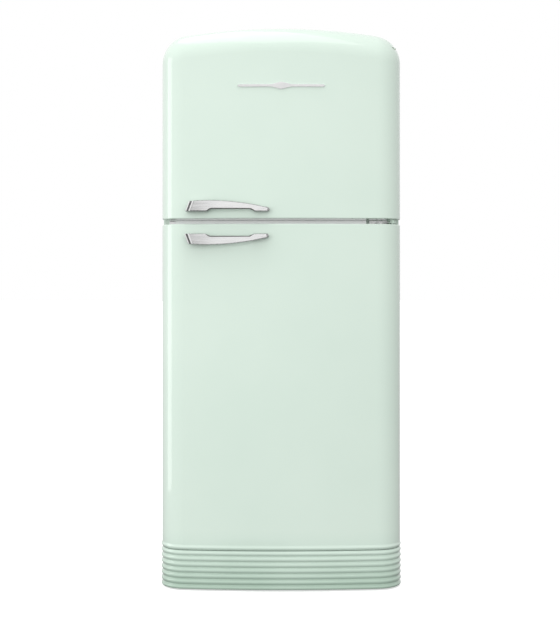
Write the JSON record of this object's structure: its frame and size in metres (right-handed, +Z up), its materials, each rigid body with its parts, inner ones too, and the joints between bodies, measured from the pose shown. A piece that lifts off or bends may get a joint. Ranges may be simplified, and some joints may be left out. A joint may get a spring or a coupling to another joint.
{
  "type": "top freezer refrigerator",
  "caption": "Free-standing two-door refrigerator with a domed freezer on top, bar handles, a ribbed plinth, and shelves, drawers, door bins and the cooling circuit inside.",
  "frame": {"origin": "on the floor, under the middle of the bounding box", "axes": "+X to the right seen from the front, +Y towards the back, +Z up"},
  "size_m": [0.807, 0.808, 1.872],
  "materials": {
    "mint_enamel": "gloss",
    "insulating_foam": "matte",
    "white_liner": "satin",
    "brushed_trim": "satin",
    "bright_trim": "polished",
    "hinge_steel": "satin",
    "zinc_steel": "satin",
    "black_steel": "gloss",
    "aluminium_fin": "satin",
    "dark_plastic": "matte",
    "white_plastic": "satin",
    "seal_rubber": "matte",
    "clear_plastic": "gloss",
    "shelf_glass": "gloss"
  },
  "bodies": {
    "cabinet": {"outer_casing": "mint_enamel", "rear_panel": "mint_enamel", "plinth": "mint_enamel", "top_hinge_cover": "mint_enamel", "cabinet_insulation": "insulating_foam", "freezer_liner": "white_liner", "fridge_liner": "white_liner", "evaporator_cover": "white_liner", "air_duct": "white_liner", "control_panel": "white_liner", "ice_maker_frame": "white_liner", "front_mullion": "brushed_trim", "hinge_screws": "bright_trim", "top_hinge": "hinge_steel", "middle_hinge": "hinge_steel", "bottom_hinge": "hinge_steel", "base_frame": "zinc_steel", "machine_cover": "zinc_steel", "fan_motors": "zinc_steel", "compressor": "black_steel", "condenser_coil": "black_steel", "evaporator": "aluminium_fin", "drip_tray": "dark_plastic", "rear_spacers": "dark_plastic", "mains_inlet": "dark_plastic", "freezer_shelf": "shelf_glass", "glass_shelf_upper": "shelf_glass", "glass_shelf_lower": "shelf_glass", "crisper_cover": "shelf_glass"},
    "freezer_door": {"freezer_door_skin": "mint_enamel", "freezer_door_foam": "insulating_foam", "freezer_door_liner": "white_liner", "freezer_door_gasket": "seal_rubber", "freezer_door_bushes": "white_plastic", "freezer_door_handle": "brushed_trim", "freezer_door_badge": "bright_trim", "freezer_bin_upper": "clear_plastic", "freezer_bin_lower": "clear_plastic"},
    "fridge_door": {"fridge_door_skin": "mint_enamel", "fridge_door_foam": "insulating_foam", "fridge_door_liner": "white_liner", "fridge_door_gasket": "seal_rubber", "fridge_door_bushes": "white_plastic", "fridge_door_cap": "mint_enamel", "fridge_door_handle": "brushed_trim", "dairy_bin": "clear_plastic", "door_balcony": "clear_plastic", "bottle_bin": "clear_plastic"},
    "dairy_lid": {"dairy_lid": "clear_plastic"},
    "ice_tray": {"ice_tray": "white_plastic"},
    "ice_bin": {"ice_bin": "clear_plastic"},
    "crisper_left": {"crisper_left": "clear_plastic"},
    "crisper_right": {"crisper_right": "clear_plastic"},
    "button_left": {"button_left": "white_plastic"},
    "button_right": {"button_right": "white_plastic"},
    "front_foot_left": {"front_foot_left": "dark_plastic"},
    "front_foot_right": {"front_foot_right": "dark_plastic"},
    "rear_rollers": {"rear_rollers": "dark_plastic"},
    "condenser_fan": {"condenser_fan": "dark_plastic"},
    "evaporator_fan": {"evaporator_fan": "white_plastic"}
  },
  "joints": [
    {"name": "freezer_door_hinge", "type": "hinge", "parent": "cabinet", "child": "freezer_door", "pos_m": [0.373, -0.279, 1.515], "axis": [0, 0, 1], "range_deg": [0, 120]},
    {"name": "fridge_door_hinge", "type": "hinge", "parent": "cabinet", "child": "fridge_door", "pos_m": [0.373, -0.279, 0.68], "axis": [0, 0, 1], "range_deg": [0, 120]},
    {"name": "dairy_lid_hinge", "type": "hinge", "parent": "fridge_door", "child": "dairy_lid", "pos_m": [0, -0.231, 1.053], "axis": [1, 0, 0], "range_deg": [0, 85]},
    {"name": "ice_tray_twist", "type": "hinge", "parent": "cabinet", "child": "ice_tray", "pos_m": [-0.262, 0, 1.7], "axis": [0, -1, 0], "range_deg": [0, 150], "stiffness_Nm_per_rad": 0.05},
    {"name": "ice_bin_slide", "type": "slide", "parent": "cabinet", "child": "ice_bin", "axis": [0, -1, 0], "range_m": [0, 0.07]},
    {"name": "crisper_left_slide", "type": "slide", "parent": "cabinet", "child": "crisper_left", "axis": [0, -1, 0], "range_m": [0, 0.075]},
    {"name": "crisper_right_slide", "type": "slide", "parent": "cabinet", "child": "crisper_right", "axis": [0, -1, 0], "range_m": [0, 0.075]},
    {"name": "button_left_press", "type": "slide", "parent": "cabinet", "child": "button_left", "axis": [0, 1, 0], "range_m": [0, 0.002], "stiffness_N_per_m": 400},
    {"name": "button_right_press", "type": "slide", "parent": "cabinet", "child": "button_right", "axis": [0, 1, 0], "range_m": [0, 0.002], "stiffness_N_per_m": 400},
    {"name": "front_foot_left_screw", "type": "slide", "parent": "cabinet", "child": "front_foot_left", "axis": [0, 0, 1], "range_m": [-0.015, 0]},
    {"name": "front_foot_right_screw", "type": "slide", "parent": "cabinet", "child": "front_foot_right", "axis": [0, 0, 1], "range_m": [-0.015, 0]},
    {"name": "rear_rollers_spin", "type": "hinge", "parent": "cabinet", "child": "rear_rollers", "pos_m": [0, 0.33, 0.02], "axis": [1, 0, 0], "continuous": true},
    {"name": "condenser_fan_spin", "type": "hinge", "parent": "cabinet", "child": "condenser_fan", "pos_m": [0.02, 0.285, 0.172], "axis": [1, 0, 0], "continuous": true},
    {"name": "evaporator_fan_spin", "type": "hinge", "parent": "cabinet", "child": "evaporator_fan", "pos_m": [0, 0.278, 1.65], "axis": [0, 1, 0], "continuous": true}
  ]
}
